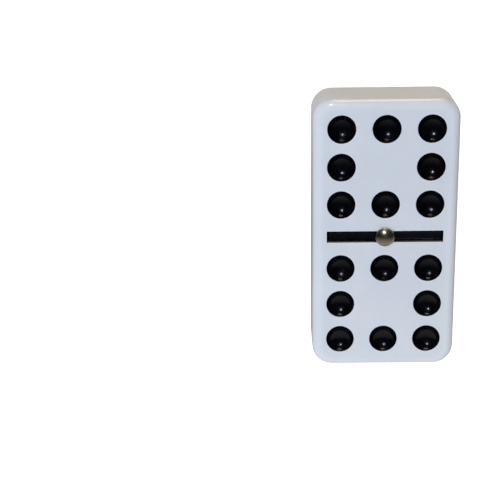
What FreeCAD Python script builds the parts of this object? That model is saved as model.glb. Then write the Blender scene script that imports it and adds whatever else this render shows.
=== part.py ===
"""A double-eight domino tile, standing on its short end.

The tile is a solid block of moulded white resin. Its front face has sixteen round
dimples, a divider groove across the middle, and a brass spinner pin pressed into a
blind hole at the centre. Black enamel lines the dimples and the groove.

Frame: X runs across the tile, Y from the front face to the back, Z up along its length.
The origin is the centre of the short end that the tile stands on. All sizes are in mm.
"""
import FreeCAD, Part
import math
import os

Vec = FreeCAD.Vector

# The moulded block
TILE_WIDTH = 25.4
TILE_HEIGHT = 49.2
TILE_THICKNESS = 11.4
CORNER_RADIUS = 3.6
FRONT_EDGE_RADIUS = 1.5
BACK_EDGE_RADIUS = 1.3

# The dimples, in three columns and in three rows on each side of the divider
COLUMN_PITCH = 7.75
ROW_PITCH = 6.74
FIRST_ROW = 5.88
DIMPLE_RADIUS = 2.5
DIMPLE_DEPTH = 1.65
PATTERN_OF_EIGHT = [(-1, 0), (0, 0), (1, 0), (-1, 1), (1, 1), (-1, 2), (0, 2), (1, 2)]

# The divider groove, whose four walls slope in towards its floor
GROOVE_LENGTH = 20.5
GROOVE_WIDTH = 2.1
GROOVE_DEPTH = 0.75
WALL_INSET = 0.5

# The enamel stops just under the face, and is thinnest at its rim
ENAMEL_SETBACK = 0.03
ENAMEL_THICKNESS = 0.15
ENAMEL_RIM = 0.06

# The spinner pin's domed head, and its ribbed shank with a lead-in at the tip
HEAD_RADIUS = 1.7
HEAD_HEIGHT = 1.15
CROWN_RADIUS = 2.25
SHOULDER_RADIUS = 0.3
SHANK_RADIUS = 1.1
SHANK_LENGTH = 7.4
TIP_CHAMFER = 0.35
RIB_COUNT = 12
RIB_HEIGHT = 0.06
RIB_HALF_WIDTH = 0.12
RIB_START = 2.0
RIB_LENGTH = 4.2

# The pin's blind hole, which ends in a cone
BORE_DEPTH = 8.0
DRILL_POINT_DEPTH = 0.6

FRONT_Y = -TILE_THICKNESS / 2
BACK_Y = TILE_THICKNESS / 2
MIDDLE_Z = TILE_HEIGHT / 2
INWARDS = Vec(0, 1, 0)
FACE_CENTRE = Vec(0, FRONT_Y, MIDDLE_Z)
FLATNESS = 1e-6


def edges_between(shape, low_y, high_y):
    """The edges of a shape that reach exactly from one Y to the other."""
    return [
        edge
        for edge in shape.Edges
        if abs(edge.BoundBox.YMin - low_y) < FLATNESS and abs(edge.BoundBox.YMax - high_y) < FLATNESS
    ]


def rounded_block():
    """The block with its corners rounded, and then its front and back rims."""
    corner = Vec(-TILE_WIDTH / 2, FRONT_Y, 0)
    block = Part.makeBox(TILE_WIDTH, TILE_THICKNESS, TILE_HEIGHT, corner)
    block = block.makeFillet(CORNER_RADIUS, edges_between(block, FRONT_Y, BACK_Y))
    block = block.makeFillet(FRONT_EDGE_RADIUS, edges_between(block, FRONT_Y, FRONT_Y))
    return block.makeFillet(BACK_EDGE_RADIUS, edges_between(block, BACK_Y, BACK_Y))


def dimple_places():
    """Name and place of each dimple. The lower eight mirrors the upper one."""
    places = {}
    for half, side in (("upper", 1), ("lower", -1)):
        for number, (column, row) in enumerate(PATTERN_OF_EIGHT, start=1):
            z = side * (FIRST_ROW + row * ROW_PITCH)
            places[f"{half}_pip_{number}"] = FACE_CENTRE + Vec(column * COLUMN_PITCH, 0, z)
    return places


def ball(place, rim_radius, rim_depth, bottom_depth):
    """The ball that passes through a circular rim and reaches down to bottom_depth."""
    rise = bottom_depth - rim_depth
    radius = (rim_radius ** 2 + rise ** 2) / (2 * rise)
    return Part.makeSphere(radius, place + INWARDS * (bottom_depth - radius))


def dimple(place):
    """The ball that leaves one dimple in the front face."""
    return ball(place, DIMPLE_RADIUS, 0, DIMPLE_DEPTH)


def pip_enamel(place):
    """The dished enamel in one dimple: its outside is the dimple, its inside a flatter ball."""
    radius = (DIMPLE_RADIUS ** 2 + DIMPLE_DEPTH ** 2) / (2 * DIMPLE_DEPTH)
    wall_depth = ENAMEL_SETBACK + radius - DIMPLE_DEPTH
    rim_radius = math.sqrt(radius ** 2 - wall_depth ** 2)
    below_face = Part.makeCylinder(
        DIMPLE_RADIUS, DIMPLE_DEPTH, place + INWARDS * ENAMEL_SETBACK, INWARDS
    )
    hollow = ball(
        place, rim_radius - ENAMEL_RIM, ENAMEL_SETBACK, DIMPLE_DEPTH - ENAMEL_THICKNESS
    )
    return dimple(place).common(below_face).cut(hollow)


def tapered_bar(margin, top_depth, bottom_depth):
    """A bar the shape of the groove, brought in by margin, between two depths."""
    slope = WALL_INSET / GROOVE_DEPTH
    rings = []
    for depth in (top_depth, bottom_depth):
        half_x = GROOVE_LENGTH / 2 - margin - depth * slope
        half_z = GROOVE_WIDTH / 2 - margin - depth * slope
        ring = [
            FACE_CENTRE + Vec(side_x * half_x, depth, side_z * half_z)
            for side_x, side_z in ((-1, -1), (1, -1), (1, 1), (-1, 1), (-1, -1))
        ]
        rings.append(Part.makePolygon(ring))
    return Part.makeLoft(rings, True, True)


def bore():
    """The blind hole for the pin, with a cone at its end."""
    end = FACE_CENTRE + INWARDS * BORE_DEPTH
    hole = Part.makeCylinder(SHANK_RADIUS, BORE_DEPTH, FACE_CENTRE, INWARDS)
    point = Part.makeCone(SHANK_RADIUS, 0, DRILL_POINT_DEPTH, end, INWARDS)
    return hole.fuse(point)


def divider_enamel():
    """The two enamel linings of the groove, left and right of the pin's hole."""
    lining = tapered_bar(0, ENAMEL_SETBACK, GROOVE_DEPTH)
    hollow = tapered_bar(ENAMEL_RIM, 0, GROOVE_DEPTH - ENAMEL_THICKNESS)
    halves = lining.cut([hollow, bore()]).Solids
    return sorted(halves, key=lambda half: half.CenterOfMass.x)


def rib(turn):
    """One straight rib of the shank, which bites into the wall of the hole."""
    root = math.sqrt(SHANK_RADIUS ** 2 - RIB_HALF_WIDTH ** 2)
    crest = SHANK_RADIUS + RIB_HEIGHT
    section = [
        Vec(0, RIB_START, 0),
        Vec(root, RIB_START, -RIB_HALF_WIDTH),
        Vec(crest, RIB_START, 0),
        Vec(root, RIB_START, RIB_HALF_WIDTH),
        Vec(0, RIB_START, 0),
    ]
    shape = Part.Face(Part.makePolygon(section)).extrude(INWARDS * RIB_LENGTH)
    shape.rotate(Vec(0, 0, 0), INWARDS, turn)
    shape.translate(FACE_CENTRE)
    return shape


def spinner_pin():
    """The pin: a domed head that the tile spins on, and a shank held by its ribs."""
    top = FACE_CENTRE - INWARDS * HEAD_HEIGHT
    crown = Part.makeSphere(CROWN_RADIUS, top + INWARDS * CROWN_RADIUS)
    head = Part.makeCylinder(HEAD_RADIUS, HEAD_HEIGHT, top, INWARDS).common(crown)
    shoulder_drop = CROWN_RADIUS - math.sqrt(CROWN_RADIUS ** 2 - HEAD_RADIUS ** 2)
    shoulder_y = top.y + shoulder_drop
    head = head.makeFillet(SHOULDER_RADIUS, edges_between(head, shoulder_y, shoulder_y))

    barrel_length = SHANK_LENGTH - TIP_CHAMFER
    barrel_end = FACE_CENTRE + INWARDS * barrel_length
    barrel = Part.makeCylinder(SHANK_RADIUS, barrel_length, FACE_CENTRE, INWARDS)
    tip = Part.makeCone(
        SHANK_RADIUS, SHANK_RADIUS - TIP_CHAMFER, TIP_CHAMFER, barrel_end, INWARDS
    )
    ribs = [rib(360 * index / RIB_COUNT) for index in range(RIB_COUNT)]
    return head.fuse([barrel, tip] + ribs).removeSplitter()


def tile_body(pin):
    """The block with its dimples, its groove and the hole that the pin was pressed into."""
    cutters = [dimple(place) for place in dimple_places().values()]
    cutters.append(tapered_bar(0, 0, GROOVE_DEPTH))
    cutters.append(bore())
    return rounded_block().cut(cutters).cut(pin)


def main():
    pin = spinner_pin()
    left, right = divider_enamel()
    parts = {
        "tile_body": tile_body(pin),
        "spinner_pin": pin,
        "divider_enamel_left": left,
        "divider_enamel_right": right,
    }
    for name, place in dimple_places().items():
        parts[name] = pip_enamel(place)

    os.makedirs("parts", exist_ok=True)
    for name, shape in parts.items():
        solid = shape.Solids[0]
        solid.exportStep(f"parts/{name}.step")
        print(name, len(shape.Solids), solid.isValid(), round(solid.Volume, 3))


main()
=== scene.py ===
import bmesh
import bpy
import math
from mathutils import Matrix, Vector


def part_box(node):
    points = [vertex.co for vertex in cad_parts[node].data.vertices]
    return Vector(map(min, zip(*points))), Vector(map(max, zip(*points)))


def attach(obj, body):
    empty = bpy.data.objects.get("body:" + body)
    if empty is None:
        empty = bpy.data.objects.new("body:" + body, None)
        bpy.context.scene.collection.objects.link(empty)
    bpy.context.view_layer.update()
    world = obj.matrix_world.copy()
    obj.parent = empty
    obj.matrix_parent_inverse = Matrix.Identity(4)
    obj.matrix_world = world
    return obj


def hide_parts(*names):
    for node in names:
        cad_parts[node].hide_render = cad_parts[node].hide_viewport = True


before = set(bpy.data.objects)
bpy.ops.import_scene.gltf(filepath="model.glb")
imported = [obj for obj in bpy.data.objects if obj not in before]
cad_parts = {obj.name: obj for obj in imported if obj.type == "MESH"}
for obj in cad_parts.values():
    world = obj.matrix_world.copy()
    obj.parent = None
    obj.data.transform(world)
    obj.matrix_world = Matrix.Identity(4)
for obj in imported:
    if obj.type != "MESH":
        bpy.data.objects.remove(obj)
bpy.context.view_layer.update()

# A double-eight domino tile, standing on end on a white light table.
#
# The tile's frame: X runs across it, Y from the pip face to the back, Z up along its length.
# Meshes are shaped in millimetres and scaled to metres when they are finished. A depth is
# measured from the front face towards the back.

MM = 0.001
# Points closer than WELD, in millimetres, are one point. Steeper edges than SHARP_EDGE look sharp.
WELD = 1e-4
SHARP_EDGE = math.radians(35)

# The moulded block. A narrow flat ring inside each rounded edge keeps the sides flat to look
# at, and nothing on the front face comes nearer to the outline than RIM_REACH.
CORNER_RADIUS = 3.6
CORNER_STEPS = 24
FRONT_EDGE_RADIUS = 1.5
BACK_EDGE_RADIUS = 1.3
EDGE_STEPS = 14
FLAT_RING = 0.35
RIM_REACH = 2.2

# The dimples and their enamel
DIMPLE_RADIUS = 2.5
DIMPLE_DEPTH = 1.65
DIMPLE_RING = 0.2
LIP_RADIUS = 0.1
LIP_STEPS = 6
FLOOR_STEPS = 16
ENAMEL_SETBACK = 0.03
ENAMEL_THICKNESS = 0.15
ENAMEL_RIM = 0.06
ENAMEL_EDGE_RADIUS = 0.05
ENAMEL_BACK_STEPS = 12
DISH_STEPS = 72

# The divider groove and its enamel
GROOVE_LENGTH = 20.5
GROOVE_WIDTH = 2.1
GROOVE_DEPTH = 0.75
GROOVE_RING = 0.15
WALL_INSET = 0.5
WALL_ANGLE = math.atan2(GROOVE_DEPTH, WALL_INSET)
GROOVE_LIP = 0.07
GROOVE_LIP_STEPS = 5
POOL_RADIUS = 0.3
POOL_STEPS = 8

# The spinner pin and its hole
HEAD_RADIUS = 1.7
CROWN_RADIUS = 2.25
CROWN_STEPS = 16
SHOULDER_RADIUS = 0.3
SHOULDER_STEPS = 10
HEAD_BASE_RADIUS = 0.07
HEAD_BASE_STEPS = 4
SHANK_RADIUS = 1.1
SHANK_LENGTH = 7.4
TIP_CHAMFER = 0.35
RIB_START = 2.0
RIB_LENGTH = 4.2
RIB_RUN_IN = 0.1
RIB_COUNT = 12
RIB_HEIGHT = 0.06
BORE_DEPTH = 8.0
DRILL_POINT_DEPTH = 0.6
DRILL_OVERSHOOT = 1.0
TURN_STEPS = 120


def box_mm(part):
    """Lowest and highest corner of a CAD node, in millimetres."""
    low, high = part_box(part)
    return low / MM, high / MM


TILE_LOW, TILE_HIGH = box_mm("tile_body")
TILE_MIDDLE = (TILE_LOW + TILE_HIGH) / 2
TILE_SIZE = TILE_HIGH - TILE_LOW
FRONT = TILE_LOW.y
PIPS = sorted(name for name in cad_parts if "_pip_" in name)


def on_face(part):
    """The point of the front face plane in front of a CAD node's middle."""
    low, high = box_mm(part)
    return Vector(((low.x + high.x) / 2, FRONT, (low.z + high.z) / 2))


# ---------------------------------------------------------------- shapes


def arc(centre, radius, start, stop, steps):
    """Points of an arc about a (radius, depth) centre, from angle start to stop.

    Angle 0 points out of the face, and a quarter turn points away from the axis.
    """
    angles = [start + (stop - start) * step / steps for step in range(steps + 1)]
    return [
        (centre[0] + radius * math.sin(angle), centre[1] - radius * math.cos(angle))
        for angle in angles
    ]


def ball_floor(rim_radius, rim_depth, bottom):
    """Radius and centre depth of the ball through a rim circle and down to a bottom."""
    rise = bottom - rim_depth
    radius = (rim_radius ** 2 + rise ** 2) / (2 * rise)
    return radius, bottom - radius


def dish(rim_radius, plane, bottom, lip, outer):
    """Profile of a dish: flat from outer to a rounded lip, then a ball-shaped floor."""
    radius, centre = ball_floor(rim_radius, plane, bottom)
    lip_depth = plane + lip
    lip_centre = math.sqrt((radius + lip) ** 2 - (lip_depth - centre) ** 2)
    turn = math.atan2(lip_centre, lip_depth - centre)
    rounded = arc((lip_centre, lip_depth), lip, 0, -turn, LIP_STEPS)
    floor = arc((0, centre), radius, math.pi - turn, math.pi, FLOOR_STEPS)
    return [(outer, plane)] + rounded + floor[1:]


def spin(bm, profile, centre, steps):
    """Turns a line of (radius, depth) points once about the Y axis through centre."""
    verts = [bm.verts.new(centre + Vector((radius, depth, 0))) for radius, depth in profile]
    edges = [bm.edges.new(pair) for pair in zip(verts, verts[1:])]
    bmesh.ops.spin(
        bm, geom=verts + edges, cent=centre, axis=(0, 1, 0), dvec=(0, 0, 0),
        angle=math.tau, steps=steps, use_merge=True, use_normal_flip=False,
        use_duplicate=False,
    )


def bevel(bm, edges, radius, segments):
    bmesh.ops.bevel(
        bm, geom=edges, offset=radius, offset_type="OFFSET", segments=segments,
        profile=0.5, affect="EDGES", material=-1, clamp_overlap=False,
    )


def side_of_channel(drop, lip, pool):
    """(inset, depth) points down a sloping wall with a rounded lip and a rounded foot."""
    rounding = 1 - math.cos(WALL_ANGLE)
    straight = drop - (lip + pool) * rounding
    points = []
    for step in range(GROOVE_LIP_STEPS + 1):
        angle = WALL_ANGLE * step / GROOVE_LIP_STEPS
        points.append((lip * math.sin(angle), lip * (1 - math.cos(angle))))
    inset = points[-1][0] + straight / math.tan(WALL_ANGLE)
    depth = points[-1][1] + straight
    for step in range(POOL_STEPS + 1):
        angle = WALL_ANGLE * (1 - step / POOL_STEPS)
        points.append((
            inset + pool * (math.sin(WALL_ANGLE) - math.sin(angle)),
            depth + pool * (math.cos(angle) - math.cos(WALL_ANGLE)),
        ))
    return points


def channel(bm, length, width, plane, side, margin=0.0):
    """A channel sunk into a flat rectangle about the middle of the front face.

    Its length and width are those at the top of its side, and margin is the flat round them.
    """
    middle = Vector((TILE_MIDDLE.x, FRONT + plane, TILE_MIDDLE.z))
    lay_flat = Matrix.Rotation(math.radians(90), 4, "X")
    size = Matrix.Diagonal((length + 2 * margin, width + 2 * margin, 1, 1))
    made = bmesh.ops.create_grid(
        bm, x_segments=1, y_segments=1, size=0.5,
        matrix=Matrix.Translation(middle) @ lay_flat @ size,
    )
    floor = made["verts"][0].link_faces[0]
    inset, depth = -margin, 0.0
    for next_inset, next_depth in side:
        thickness = next_inset - inset
        drop = next_depth - depth
        if thickness > WELD or drop > WELD:
            bmesh.ops.inset_region(
                bm, faces=[floor], thickness=thickness, depth=-drop,
                use_even_offset=True, use_boundary=True,
            )
        inset, depth = next_inset, next_depth


# ---------------------------------------------------------------- pieces


def to_piece(bm, name, material, slot, *nodes):
    """Closes a mesh, scales it to metres and puts it in the scene in place of CAD nodes."""
    bmesh.ops.remove_doubles(bm, verts=bm.verts, dist=WELD)
    bmesh.ops.recalc_face_normals(bm, faces=bm.faces)
    bmesh.ops.scale(bm, vec=(MM, MM, MM), verts=bm.verts)
    mesh = bpy.data.meshes.new(name)
    bm.to_mesh(mesh)
    bm.free()
    mesh.materials.append(material)
    piece = bpy.data.objects.new(name, mesh)
    bpy.context.scene.collection.objects.link(piece)
    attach(piece, "root")
    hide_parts(*nodes)
    return piece


def smooth(piece):
    piece.data.shade_smooth()
    piece.data.set_sharp_from_angle(angle=SHARP_EDGE)


def drill(piece, drill_shape):
    """Cuts the pin's hole out of a piece and keeps the result as its mesh."""
    cut = piece.modifiers.new("pin_hole", "BOOLEAN")
    cut.operation = "DIFFERENCE"
    cut.solver = "EXACT"
    cut.object = drill_shape
    shown = piece.evaluated_get(bpy.context.evaluated_depsgraph_get())
    mesh = bpy.data.meshes.new_from_object(shown)
    piece.modifiers.clear()
    piece.data = mesh
    mesh.name = piece.name


def pin_hole():
    """The shape of the blind hole, as a solid that reaches out past the face."""
    bm = bmesh.new()
    profile = [
        (0, -DRILL_OVERSHOOT), (SHANK_RADIUS, -DRILL_OVERSHOOT), (SHANK_RADIUS, BORE_DEPTH),
        (0, BORE_DEPTH + DRILL_POINT_DEPTH),
    ]
    spin(bm, profile, on_face("spinner_pin"), TURN_STEPS)
    bmesh.ops.remove_doubles(bm, verts=bm.verts, dist=WELD)
    bmesh.ops.recalc_face_normals(bm, faces=bm.faces)
    bmesh.ops.scale(bm, vec=(MM, MM, MM), verts=bm.verts)
    mesh = bpy.data.meshes.new("pin_hole")
    bm.to_mesh(mesh)
    bm.free()
    hole = bpy.data.objects.new("pin_hole", mesh)
    bpy.context.scene.collection.objects.link(hole)
    return hole


def edges_at(bm, y):
    """The edges that lie in the plane at y."""
    return [edge for edge in bm.edges if all(abs(vert.co.y - y) < WELD for vert in edge.verts)]


def edges_along_y(bm):
    return [edge for edge in bm.edges if abs(edge.verts[0].co.y - edge.verts[1].co.y) > WELD]


def moulded_block(material, hole):
    """The white block, with its dimples and groove sunk into the front face."""
    bm = bmesh.new()
    bmesh.ops.create_cube(bm, size=1, matrix=Matrix.LocRotScale(TILE_MIDDLE, None, TILE_SIZE))
    bevel(bm, edges_along_y(bm), CORNER_RADIUS, CORNER_STEPS)
    bevel(bm, edges_at(bm, TILE_LOW.y), FRONT_EDGE_RADIUS, EDGE_STEPS)
    bevel(bm, edges_at(bm, TILE_HIGH.y), BACK_EDGE_RADIUS, EDGE_STEPS)

    sides = sorted(bm.faces, key=lambda face: face.calc_area())[-6:]
    bmesh.ops.inset_individual(
        bm, faces=sides, thickness=FLAT_RING, depth=0, use_even_offset=True
    )
    front = min(sides, key=lambda face: face.calc_center_median().y)
    bmesh.ops.delete(bm, geom=[front], context="FACES_ONLY")

    profile = dish(DIMPLE_RADIUS, 0, DIMPLE_DEPTH, LIP_RADIUS, DIMPLE_RADIUS + DIMPLE_RING)
    for pip in PIPS:
        spin(bm, profile, on_face(pip), DISH_STEPS)
    reach = GROOVE_LIP * math.tan(WALL_ANGLE / 2)
    channel(bm, GROOVE_LENGTH + 2 * reach, GROOVE_WIDTH + 2 * reach, 0,
            side_of_channel(GROOVE_DEPTH, GROOVE_LIP, 0.0), margin=GROOVE_RING)
    bmesh.ops.remove_doubles(bm, verts=bm.verts, dist=WELD)
    open_rims = [edge for edge in bm.edges if edge.is_boundary]
    bmesh.ops.triangle_fill(bm, use_beauty=True, edges=open_rims, normal=(0, -1, 0))

    # A mask of the lips just inside the dimples and the groove, where a painted shade darkens the
    # white resin.
    lip_shade_mask = bm.verts.layers.float.new("painted_lip_shade")
    for vert in bm.verts:
        depth = vert.co.y - FRONT
        out = vert.co - TILE_MIDDLE
        on_flat = all(abs(out[axis]) < TILE_SIZE[axis] / 2 - RIM_REACH for axis in (0, 2))
        vert[lip_shade_mask] = float(on_flat and WELD < depth < 2 * LIP_RADIUS)

    block = to_piece(bm, "moulded_block", material, "white_resin", "tile_body")
    drill(block, hole)
    smooth(block)


def pip_lining(pip, material):
    """The black enamel in one dimple: its back fits the dimple, its face is flatter."""
    bm = bmesh.new()
    radius, centre = ball_floor(DIMPLE_RADIUS, 0, DIMPLE_DEPTH)
    rim_radius = math.sqrt(radius ** 2 - (ENAMEL_SETBACK - centre) ** 2)
    face = dish(rim_radius - ENAMEL_RIM, ENAMEL_SETBACK, DIMPLE_DEPTH - ENAMEL_THICKNESS,
                ENAMEL_EDGE_RADIUS, rim_radius)
    rim_angle = math.asin(rim_radius / radius)
    back = arc((0, centre), radius, math.pi, math.pi - rim_angle, ENAMEL_BACK_STEPS)
    axis = on_face(pip)
    spin(bm, back[:-1] + face, axis, DISH_STEPS)
    rim = bm.verts.layers.float.new("rim")
    for vert in bm.verts:
        vert[rim] = math.hypot(vert.co.x - axis.x, vert.co.z - axis.z) / rim_radius
    smooth(to_piece(bm, pip + "_lining", material, "black_enamel", pip))


def divider_lining(side, material, hole):
    """The black enamel in one half of the groove, from its end to the pin's hole."""
    bm = bmesh.new()
    depth = GROOVE_DEPTH - ENAMEL_SETBACK
    shrink = 2 * ENAMEL_SETBACK / math.tan(WALL_ANGLE)
    length, width = GROOVE_LENGTH - shrink, GROOVE_WIDTH - shrink
    reach = ENAMEL_EDGE_RADIUS * math.tan(WALL_ANGLE / 2)
    face = side_of_channel(depth - ENAMEL_THICKNESS, ENAMEL_EDGE_RADIUS, POOL_RADIUS)
    rim = ENAMEL_RIM - reach
    channel(bm, length - 2 * rim, width - 2 * rim, ENAMEL_SETBACK, face, margin=rim)
    channel(bm, length, width, ENAMEL_SETBACK, side_of_channel(depth, 0.0, 0.0))
    bmesh.ops.remove_doubles(bm, verts=bm.verts, dist=WELD)
    layer = bm.verts.layers.float.new("rim")
    for vert in bm.verts:
        vert[layer] = abs(vert.co.z - TILE_MIDDLE.z) / (width / 2)
    lining = to_piece(bm, "divider_lining_" + side, material, "black_enamel",
                      "divider_enamel_" + side)
    drill(lining, hole)

    halves = bmesh.new()
    halves.from_mesh(lining.data)
    way = -1 if side == "left" else 1
    middle = TILE_MIDDLE.x * MM
    other = [vert for vert in halves.verts if way * (vert.co.x - middle) < 0]
    bmesh.ops.delete(halves, geom=other, context="VERTS")
    halves.to_mesh(lining.data)
    halves.free()
    smooth(lining)


def spinner_pin(material):
    """The brass pin: a domed head on a ribbed shank."""
    axis = on_face("spinner_pin")
    crown_centre = box_mm("spinner_pin")[0].y - FRONT + CROWN_RADIUS
    shoulder = HEAD_RADIUS - SHOULDER_RADIUS
    turn = math.asin(shoulder / (CROWN_RADIUS - SHOULDER_RADIUS))
    shoulder_depth = crown_centre - (CROWN_RADIUS - SHOULDER_RADIUS) * math.cos(turn)
    crown = arc((0, crown_centre), CROWN_RADIUS, 0, turn, CROWN_STEPS)
    rounding = arc((shoulder, shoulder_depth), SHOULDER_RADIUS, turn, math.pi / 2,
                   SHOULDER_STEPS)
    foot = arc((HEAD_RADIUS - HEAD_BASE_RADIUS, -HEAD_BASE_RADIUS), HEAD_BASE_RADIUS,
               math.pi / 2, math.pi, HEAD_BASE_STEPS)
    rib_end = RIB_START + RIB_LENGTH
    shank = [
        (SHANK_RADIUS, 0), (SHANK_RADIUS, RIB_START - RIB_RUN_IN), (SHANK_RADIUS, RIB_START),
        (SHANK_RADIUS, rib_end), (SHANK_RADIUS, rib_end + RIB_RUN_IN),
        (SHANK_RADIUS, SHANK_LENGTH - TIP_CHAMFER),
        (SHANK_RADIUS - TIP_CHAMFER, SHANK_LENGTH), (0, SHANK_LENGTH),
    ]
    bm = bmesh.new()
    spin(bm, crown + rounding[1:] + foot + shank, axis, TURN_STEPS)
    bmesh.ops.remove_doubles(bm, verts=bm.verts, dist=WELD)

    pitch = TURN_STEPS // RIB_COUNT
    for offset, share in ((0, 1.0), (1, 0.5), (pitch - 1, 0.5)):
        crest = []
        for vert in bm.verts:
            out = vert.co - axis
            step = round(math.atan2(out.z, out.x) / math.tau * TURN_STEPS)
            if RIB_START - WELD < out.y < rib_end + WELD and step % pitch == offset:
                crest.append(vert)
        growth = 1 + share * RIB_HEIGHT / SHANK_RADIUS
        bmesh.ops.scale(bm, vec=(growth, 1, growth), space=Matrix.Translation(-axis),
                        verts=crest)
    smooth(to_piece(bm, "domed_pin", material, "brass", "spinner_pin"))


# ---------------------------------------------------------------- materials

RESIN_TONE = (0.79, 0.80, 0.81, 1)
RESIN_PALE_TONE = (0.83, 0.835, 0.84, 1)
RESIN_FLOW_TONE = (0.80, 0.79, 0.775, 1)
# Darker colour for nicks and worn edges, and for the painted shade on the dimple and groove lips
GRIME_AND_LIP_SHADE = (0.42, 0.40, 0.37, 1)
ENAMEL_DEEP = (0.0015, 0.0015, 0.0025, 1)
ENAMEL_SHALLOW = (0.003, 0.003, 0.0045, 1)
ENAMEL_THIN = (0.012, 0.012, 0.015, 1)
DUST = (0.25, 0.25, 0.26, 1)
BRASS_DULL = (0.64, 0.56, 0.40, 1)
BRASS_BRIGHT = (0.73, 0.66, 0.50, 1)
BRASS_BROWN = (0.34, 0.26, 0.15, 1)

# How far in from the outline wear on a rim starts, and where it is full
WEAR_START = 1.7
WEAR_FULL = 0.3

# Scratches: how far the noise is drawn out, half a line's width on it, and how often it breaks
SCRATCH_STRETCH = 0.035
SCRATCH_WIDTH = 0.012
SCRATCH_BREAKS = 0.22

# The turned head's rings, in radians per millimetre of radius, and the browner band at its rim
RING_RATE = 55.0
BROWN_BAND = 0.35


def node(tree, kind, inputs=None, **settings):
    """Adds a shader node, with its settings, and values or links for its inputs."""
    made = tree.nodes.new("ShaderNode" + kind)
    for name, value in settings.items():
        setattr(made, name, value)
    for name, value in (inputs or {}).items():
        if isinstance(value, bpy.types.NodeSocket):
            tree.links.new(value, made.inputs[name])
        else:
            made.inputs[name].default_value = value
    return made


def math_node(tree, operation, *values):
    return node(tree, "Math", dict(enumerate(values)), operation=operation).outputs[0]


def fade(tree, value, start, stop, low=0.0, high=1.0):
    """A smooth change from low to high while value goes from start to stop."""
    made = node(
        tree, "MapRange",
        {"Value": value, "From Min": start, "From Max": stop, "To Min": low, "To Max": high},
        interpolation_type="SMOOTHSTEP",
    )
    return made.outputs["Result"]


def blend(tree, factor, first, second):
    """A colour between two colours."""
    made = node(tree, "Mix", {0: factor, 6: first, 7: second}, data_type="RGBA")
    return made.outputs[2]


def in_mm(tree, centre=(0, 0, 0)):
    """The piece's own coordinates in millimetres, counted from centre."""
    own = node(tree, "TexCoord").outputs["Object"]
    shift = [-value for value in centre]
    scaled = node(tree, "Mapping", {"Vector": own, "Location": shift, "Scale": [1 / MM] * 3})
    return scaled.outputs["Vector"]


def new_group(name, inputs, output):
    """A node group with these inputs and one output. Returns the tree and both its ends."""
    tree = bpy.data.node_groups.new(name, "ShaderNodeTree")
    for socket, value in inputs.items():
        kind = "NodeSocketVector" if isinstance(value, tuple) else "NodeSocketFloat"
        made = tree.interface.new_socket(name=socket, in_out="INPUT", socket_type=kind)
        made.default_value = value
    tree.interface.new_socket(name=output, in_out="OUTPUT", socket_type="NodeSocketFloat")
    return tree, tree.nodes.new("NodeGroupInput").outputs, tree.nodes.new("NodeGroupOutput")


def cloud_group():
    """Soft cloudy variation from 0 to 1, for tone and polish."""
    tree, given, out = new_group(
        "cloudiness", {"Place": (0, 0, 0), "Stretch": (1, 1, 1), "Fineness": 0.2}, "Cloud"
    )
    place = node(tree, "VectorMath", {0: given["Place"], 1: given["Stretch"]},
                 operation="MULTIPLY").outputs[0]
    noise = node(tree, "TexNoise", {"Vector": place, "Scale": given["Fineness"],
                                    "Detail": 4.0, "Roughness": 0.55})
    tree.links.new(fade(tree, noise.outputs[0], 0.3, 0.7), out.inputs["Cloud"])
    return tree


def hairline_group():
    """Fine scratches: thin contour lines of a long stretched noise, broken up at random."""
    tree, given, out = new_group(
        "hairline_scratches",
        {"Place": (0, 0, 0), "Turn": (0, 0, 0), "Fineness": 2.0, "Share": 0.5}, "Scratch"
    )
    turned = node(tree, "Mapping", {"Vector": given["Place"], "Rotation": given["Turn"]})
    stretched = node(tree, "Mapping", {"Vector": turned.outputs[0], "Scale": (1, 1, SCRATCH_STRETCH)})
    lines = node(tree, "TexNoise", {"Vector": stretched.outputs[0],
                                    "Scale": given["Fineness"], "Detail": 1.0})
    off_centre = math_node(tree, "ABSOLUTE",
                           math_node(tree, "SUBTRACT", lines.outputs[0], 0.5))
    thin = fade(tree, off_centre, 0.0, SCRATCH_WIDTH, 1.0, 0.0)
    breaks = node(tree, "TexNoise", {"Vector": turned.outputs[0],
                                     "Scale": SCRATCH_BREAKS, "Detail": 2.0})
    floor = math_node(tree, "SUBTRACT", 0.75, math_node(tree, "MULTIPLY", given["Share"], 0.4))
    ceiling = math_node(tree, "ADD", floor, 0.12)
    kept = fade(tree, breaks.outputs[0], floor, ceiling)
    tree.links.new(math_node(tree, "MULTIPLY", thin, kept), out.inputs["Scratch"])
    return tree


def speck_group():
    """Sparse round specks, such as dust, pinholes and tiny nicks."""
    tree, given, out = new_group(
        "specks", {"Place": (0, 0, 0), "Fineness": 1.0, "Size": 0.06, "Share": 0.1}, "Speck"
    )
    cells = node(tree, "TexVoronoi", {"Vector": given["Place"], "Scale": given["Fineness"]})
    dot = math_node(tree, "LESS_THAN", cells.outputs["Distance"], given["Size"])
    pick = node(tree, "SeparateColor", {0: cells.outputs["Color"]}).outputs[0]
    chosen = math_node(tree, "LESS_THAN", pick, given["Share"])
    tree.links.new(math_node(tree, "MULTIPLY", dot, chosen), out.inputs["Speck"])
    return tree


def use(tree, group, **inputs):
    """Places a node group in a material and returns its output."""
    made = tree.nodes.new("ShaderNodeGroup")
    made.node_tree = group
    for name, value in inputs.items():
        if isinstance(value, bpy.types.NodeSocket):
            tree.links.new(value, made.inputs[name])
        else:
            made.inputs[name].default_value = value
    return made.outputs[0]


def sum_of(tree, start, *parts):
    """A start value plus each part times its share."""
    total = start
    for value, share in parts:
        total = math_node(tree, "MULTIPLY_ADD", value, share, total)
    return total


def new_material(name):
    material = bpy.data.materials.new(name)
    material.use_nodes = True
    tree = material.node_tree
    return material, tree, tree.nodes["Principled BSDF"]


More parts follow.
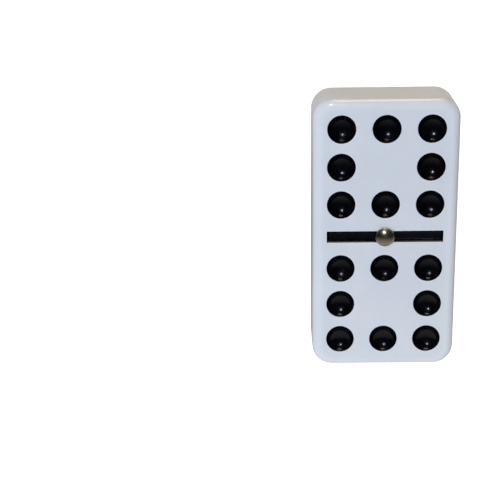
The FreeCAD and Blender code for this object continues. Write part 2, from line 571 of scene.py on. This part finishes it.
def feed(tree, shader, colour, roughness, height, bump_depth):
    """Links colour, roughness and a height in millimetres to the shader."""
    bump = node(tree, "Bump", {"Height": height, "Distance": bump_depth * MM, "Strength": 1.0})
    tree.links.new(colour, shader.inputs["Base Color"])
    tree.links.new(roughness, shader.inputs["Roughness"])
    tree.links.new(bump.outputs[0], shader.inputs["Normal"])


def edge_band(tree, place):
    """1 on the rounded rims of the front and back, and 0 on the block's flats."""
    half = TILE_SIZE / 2
    axes = node(tree, "SeparateXYZ", {0: place}).outputs
    past_corner = {}
    for axis in (0, 2):
        reach = math_node(tree, "ABSOLUTE", axes[axis])
        past = math_node(tree, "SUBTRACT", reach, half[axis] - CORNER_RADIUS)
        past_corner[axis] = math_node(tree, "MAXIMUM", past, 0.0)
    across = node(tree, "CombineXYZ", past_corner).outputs[0]
    out = node(tree, "VectorMath", {0: across}, operation="LENGTH").outputs["Value"]
    near_outline = fade(tree, out, CORNER_RADIUS - WEAR_START, CORNER_RADIUS - WEAR_FULL)
    deep = math_node(tree, "ABSOLUTE", axes[1])
    near_face = fade(tree, deep, half.y - WEAR_START, half.y - WEAR_FULL)
    return math_node(tree, "MULTIPLY", near_outline, near_face)


def white_resin(cloud, hairlines, specks):
    """Polished white resin: faint clouding, flow lines, handling scratches, nicks, worn edges, and
    painted shade that darkens the lips round the dimples and the groove.
    """
    material, tree, shader = new_material("white_resin")
    place = in_mm(tree, TILE_MIDDLE)
    tone = use(tree, cloud, Place=place, Fineness=0.11)
    flow = use(tree, cloud, Place=place, Stretch=(1.0, 1.0, 0.25), Fineness=0.6)
    polish = use(tree, cloud, Place=place, Fineness=0.9)
    long_marks = use(tree, hairlines, Place=place, Turn=(0.0, 0.35, 0.0), Fineness=1.4,
                     Share=0.55)
    cross_marks = use(tree, hairlines, Place=place, Turn=(0.4, 1.25, 0.3), Fineness=1.9,
                      Share=0.4)
    nicks = use(tree, specks, Place=place, Fineness=0.8, Size=0.05, Share=0.12)
    edge = edge_band(tree, place)
    lip_shade_mask = node(tree, "Attribute", attribute_name="painted_lip_shade").outputs["Fac"]

    colour = blend(tree, tone, RESIN_TONE, RESIN_PALE_TONE)
    colour = blend(tree, math_node(tree, "MULTIPLY", flow, 0.25), colour, RESIN_FLOW_TONE)
    # Darker at nicks and worn edges, and painted shade on the lips round the dimples and the groove
    grime_and_lip_shade = sum_of(tree, 0.0, (lip_shade_mask, 0.3), (nicks, 0.2), (edge, 0.03))
    colour = blend(tree, grime_and_lip_shade, colour, GRIME_AND_LIP_SHADE)
    roughness = sum_of(tree, 0.15, (polish, 0.05), (long_marks, 0.05), (cross_marks, 0.04),
                       (edge, 0.04), (lip_shade_mask, 0.15))
    peel = node(tree, "TexNoise", {"Vector": place, "Scale": 2.2, "Detail": 2.0}).outputs[0]
    wave = node(tree, "TexNoise", {"Vector": place, "Scale": 0.13, "Detail": 1.0}).outputs[0]
    height = sum_of(tree, 0.0, (peel, 0.03), (wave, 1.0), (long_marks, -0.02),
                    (cross_marks, -0.015), (nicks, -0.12))
    feed(tree, shader, colour, roughness, height, 0.05)
    shader.inputs["IOR"].default_value = 1.55
    shader.inputs["Subsurface Weight"].default_value = 0.12
    shader.inputs["Subsurface Radius"].default_value = (1.0, 0.85, 0.7)
    shader.inputs["Subsurface Scale"].default_value = 0.8 * MM
    return material


def black_enamel(cloud, hairlines, specks):
    """Gloss black enamel that has pooled in its recess and thins out at the rim."""
    material, tree, shader = new_material("black_enamel")
    place = in_mm(tree, TILE_MIDDLE)
    depth_tone = use(tree, cloud, Place=place, Fineness=0.7)
    marks = use(tree, hairlines, Place=place, Turn=(0.2, 0.9, 0.1), Fineness=2.6, Share=0.35)
    dust = use(tree, specks, Place=place, Fineness=1.6, Size=0.05, Share=0.2)
    rim = node(tree, "Attribute", attribute_name="rim").outputs["Fac"]
    thin = fade(tree, rim, 0.955, 1.0)

    colour = blend(tree, depth_tone, ENAMEL_DEEP, ENAMEL_SHALLOW)
    colour = blend(tree, math_node(tree, "MULTIPLY", thin, 0.35), colour, ENAMEL_THIN)
    colour = blend(tree, math_node(tree, "MULTIPLY", dust, 0.25), colour, DUST)
    roughness = sum_of(tree, 0.17, (depth_tone, 0.06), (thin, 0.2), (marks, 0.12),
                       (dust, 0.3))
    ripple = node(tree, "TexNoise", {"Vector": place, "Scale": 0.9, "Detail": 2.0}).outputs[0]
    height = sum_of(tree, 0.0, (ripple, 0.15), (marks, -0.03), (dust, 0.25))
    feed(tree, shader, colour, roughness, height, 0.012)
    shader.inputs["IOR"].default_value = 1.5
    return material


def turned_brass(cloud, hairlines):
    """Turned and tumbled brass: faint lathe rings, fine scratches, a browner rim."""
    material, tree, shader = new_material("turned_brass")
    low, high = box_mm("spinner_pin")
    place = in_mm(tree, (low + high) / 2)
    axes = node(tree, "SeparateXYZ", {0: place}).outputs
    flat = node(tree, "CombineXYZ", {0: axes[0], 2: axes[2]}).outputs[0]
    radius = node(tree, "VectorMath", {0: flat}, operation="LENGTH").outputs["Value"]
    rings = math_node(tree, "SINE", math_node(tree, "MULTIPLY", radius, RING_RATE))
    tarnish = use(tree, cloud, Place=place, Fineness=0.8)
    marks = use(tree, hairlines, Place=place, Turn=(0.3, 0.6, 0.0), Fineness=4.0, Share=0.7)
    rim = fade(tree, radius, HEAD_RADIUS - BROWN_BAND, HEAD_RADIUS)

    colour = blend(tree, tarnish, BRASS_DULL, BRASS_BRIGHT)
    colour = blend(tree, math_node(tree, "MULTIPLY", rim, 0.45), colour, BRASS_BROWN)
    roughness = sum_of(tree, 0.26, (tarnish, 0.06), (marks, 0.06), (rim, 0.1))
    height = sum_of(tree, 0.0, (rings, 0.08), (marks, -0.05), (tarnish, 0.2))
    feed(tree, shader, colour, roughness, height, 0.004)
    shader.inputs["Metallic"].default_value = 1.0
    return material


# ---------------------------------------------------------------- studio

# Sizes here are in metres. The table is a disc that bends up into a round wall.
TABLE_RADIUS = 0.9
TABLE_BEND = 0.6
TABLE_BEND_STEPS = 12
TABLE_TURN_STEPS = 48
WALL_TOP = 2.0

# Light that the sheet and the room send to the eye, to matt surfaces and to glossy ones
SHEET_SEEN = 0.74
TABLE_GLOW = 0.33
GLOW_REACH = 0.038
TABLE_BOUNCE = 0.61
FOOT_BOUNCE = 0.14
ROOM_FILL = 0.26
ROOM_DARK = 0.008
ROOM_BEHIND = 0.5


def light_table():
    """A white sheet under the tile that curves up into a wall all round."""
    bm = bmesh.new()
    verts = [bm.verts.new((0, 0, 0)), bm.verts.new((TABLE_RADIUS, 0, 0))]
    for step in range(1, TABLE_BEND_STEPS + 1):
        angle = math.pi / 2 * step / TABLE_BEND_STEPS
        out = TABLE_RADIUS + TABLE_BEND * math.sin(angle)
        verts.append(bm.verts.new((out, 0, TABLE_BEND * (1 - math.cos(angle)))))
    verts.append(bm.verts.new((TABLE_RADIUS + TABLE_BEND, 0, WALL_TOP)))
    edges = [bm.edges.new(pair) for pair in zip(verts, verts[1:])]
    bmesh.ops.spin(bm, geom=verts + edges, cent=(0, 0, 0), axis=(0, 0, 1), dvec=(0, 0, 0),
                   angle=math.tau, steps=TABLE_TURN_STEPS, use_merge=True,
                   use_duplicate=False)
    bmesh.ops.remove_doubles(bm, verts=bm.verts, dist=1e-6)
    bmesh.ops.recalc_face_normals(bm, faces=bm.faces)
    mesh = bpy.data.meshes.new("light_table")
    bm.to_mesh(mesh)
    bm.free()
    mesh.shade_smooth()
    table = bpy.data.objects.new("light_table", mesh)
    bpy.context.scene.collection.objects.link(table)
    mesh.materials.append(white_sheet())
    table.visible_shadow = False


def white_sheet():
    """Plain white to look at.

    Matt surfaces are lit by the table top, most of all round the tile's foot, and less by the
    wall. Glossy ones mirror a glow round the foot, and past it a dark room in front of the
    tile and a pale one behind it.
    """
    material, tree, shader = new_material("white_sheet")
    place = node(tree, "TexCoord").outputs["Object"]
    axes = node(tree, "SeparateXYZ", {0: place}).outputs
    away = node(tree, "VectorMath", {0: place}, operation="LENGTH").outputs["Value"]
    steps = math_node(tree, "DIVIDE", away, GLOW_REACH)
    fall = math_node(tree, "MULTIPLY_ADD", steps, steps, 1.0)
    glow = math_node(tree, "DIVIDE", TABLE_GLOW, fall)
    behind = fade(tree, axes[1], 0.0, 0.3, ROOM_DARK, ROOM_BEHIND)
    to_gloss = math_node(tree, "ADD", glow, behind)
    bounce = fade(tree, axes[2], 0.0, 0.5, TABLE_BOUNCE, ROOM_FILL)
    to_matt = math_node(tree, "ADD", bounce, math_node(tree, "DIVIDE", FOOT_BOUNCE, fall))
    ray = node(tree, "LightPath").outputs
    sent = node(tree, "Mix", {0: ray["Is Diffuse Ray"], 2: to_gloss, 3: to_matt}).outputs[0]
    strength = node(tree, "Mix", {0: ray["Is Camera Ray"], 2: sent, 3: SHEET_SEEN}).outputs[0]
    tree.links.new(strength, shader.inputs["Emission Strength"])
    albedo = math_node(tree, "MULTIPLY", ray["Is Camera Ray"], 0.8)
    grey = node(tree, "CombineColor", {0: albedo, 1: albedo, 2: albedo}).outputs[0]
    tree.links.new(grey, shader.inputs["Base Color"])
    shader.inputs["Emission Color"].default_value = (1, 1, 1, 1)
    shader.inputs["Roughness"].default_value = 1.0
    shader.inputs["Specular IOR Level"].default_value = 0.0
    return material


def room():
    """The room above the sheet: an even fill for matt surfaces, and dark for glossy ones."""
    world = bpy.data.worlds.new("room")
    bpy.context.scene.world = world
    world.use_nodes = True
    tree = world.node_tree
    matt = node(tree, "LightPath").outputs["Is Diffuse Ray"]
    strength = node(tree, "Mix", {0: matt, 2: ROOM_DARK, 3: ROOM_FILL}).outputs[0]
    tree.links.new(strength, tree.nodes["Background"].inputs["Strength"])
    tree.nodes["Background"].inputs["Color"].default_value = (1, 1, 1, 1)


def lamp(name, place, size, watts, colour, matt=True, gloss=True):
    """A round lamp aimed at the tile's middle, seen by matt or by glossy surfaces or both."""
    light = bpy.data.lights.new(name, "AREA")
    light.shape = "DISK"
    light.size = size
    light.energy = watts
    light.color = colour
    made = bpy.data.objects.new(name, light)
    made.location = place
    aim = TILE_MIDDLE * MM - Vector(place)
    made.rotation_euler = aim.to_track_quat("-Z", "Y").to_euler()
    made.visible_diffuse = matt
    made.visible_glossy = gloss
    bpy.context.scene.collection.objects.link(made)


EYE = Vector((-0.01998, -0.22286, 0.09623))
EYE_HEADING = math.radians(1.0)
EYE_TILT = math.radians(18.76)
EYE_ROLL = math.radians(-0.86)
LENS = 93.47
SENSOR = 36


def camera():
    data = bpy.data.cameras.new("camera")
    data.lens = LENS
    data.sensor_width = SENSOR
    data.clip_start = 0.01
    made = bpy.data.objects.new("camera", data)
    bpy.context.scene.collection.objects.link(made)
    turn = Matrix.Rotation(EYE_HEADING, 4, "Z")
    tip = Matrix.Rotation(math.pi / 2 - EYE_TILT, 4, "X")
    roll = Matrix.Rotation(EYE_ROLL, 4, "Z")
    made.matrix_world = Matrix.Translation(EYE) @ turn @ tip @ roll
    bpy.context.scene.camera = made


def studio():
    lamp("camera_lamp", (-0.028, -0.174, 0.173), 0.03, 0.09, (0.86, 0.94, 1.2), matt=False)
    lamp("key_lamp", (-0.18, -0.39, 0.11), 0.12, 1.05, (0.66, 0.80, 1.03), gloss=False)
    lamp("ceiling_lamp", (0.03, -0.01, 0.62), 0.33, 0.95, (1.0, 0.765, 0.475), gloss=False)
    lamp("ceiling_glint", (0.04, -0.01, 0.62), 0.28, 0.85, (1.0, 0.88, 0.72), matt=False)
    lamp("back_lamp", (0.1, 0.5, 0.1), 0.3, 1.0, (1.0, 0.98, 0.95), gloss=False)


# ---------------------------------------------------------------- assembly

clouds, scratches, dots = cloud_group(), hairline_group(), speck_group()
resin = white_resin(clouds, scratches, dots)
enamel = black_enamel(clouds, scratches, dots)
brass = turned_brass(clouds, scratches)

hole_shape = pin_hole()
moulded_block(resin, hole_shape)
for pip in PIPS:
    pip_lining(pip, enamel)
for half in ("left", "right"):
    divider_lining(half, enamel, hole_shape)
spinner_pin(brass)
bpy.data.objects.remove(hole_shape)

light_table()
room()
studio()
camera()
bpy.context.scene.view_settings.view_transform = "Standard"
